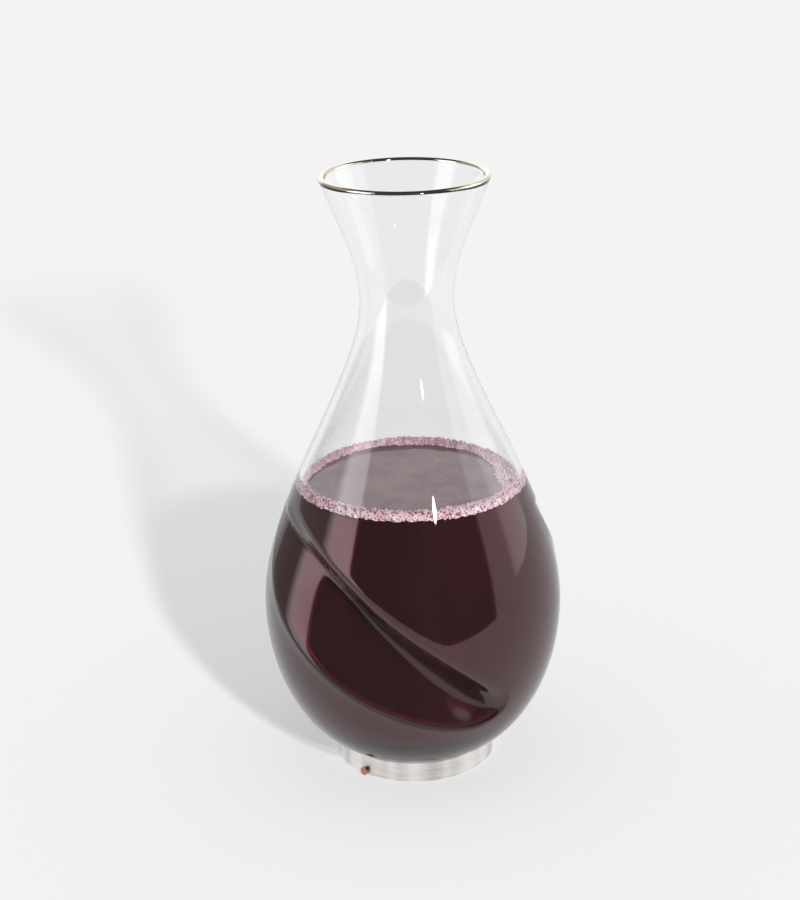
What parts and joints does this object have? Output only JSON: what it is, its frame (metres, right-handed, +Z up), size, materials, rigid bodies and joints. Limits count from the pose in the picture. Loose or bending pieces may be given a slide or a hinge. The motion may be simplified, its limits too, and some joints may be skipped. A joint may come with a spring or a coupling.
{
  "type": "wine decanter",
  "caption": "Swirled glass decanter with a round belly, narrow neck and flared gilt lip, set loose on a low steel ring.",
  "frame": {"origin": "centre of the steel ring's underside, on the surface that the decanter stands on", "axes": "+Z up the decanter's axis to its mouth, -Y the front, with the stud left of the front"},
  "size_m": [0.1129, 0.1115, 0.228],
  "materials": {
    "clear_glass": "clear blown glass",
    "gilt": "thin fired gold line",
    "brushed_steel": "satin brushed round the ring",
    "copper": "polished copper"
  },
  "bodies": {
    "stand": {"stand_ring": "brushed_steel", "ring_stud": "copper"},
    "vessel": {"glass_vessel": "clear_glass", "lip_band": "gilt"}
  },
  "joints": [
    {"name": "lift_from_ring", "type": "slide", "parent": "stand", "child": "vessel", "axis": [0, 0, 1], "range_m": [0, 0.03]}
  ]
}
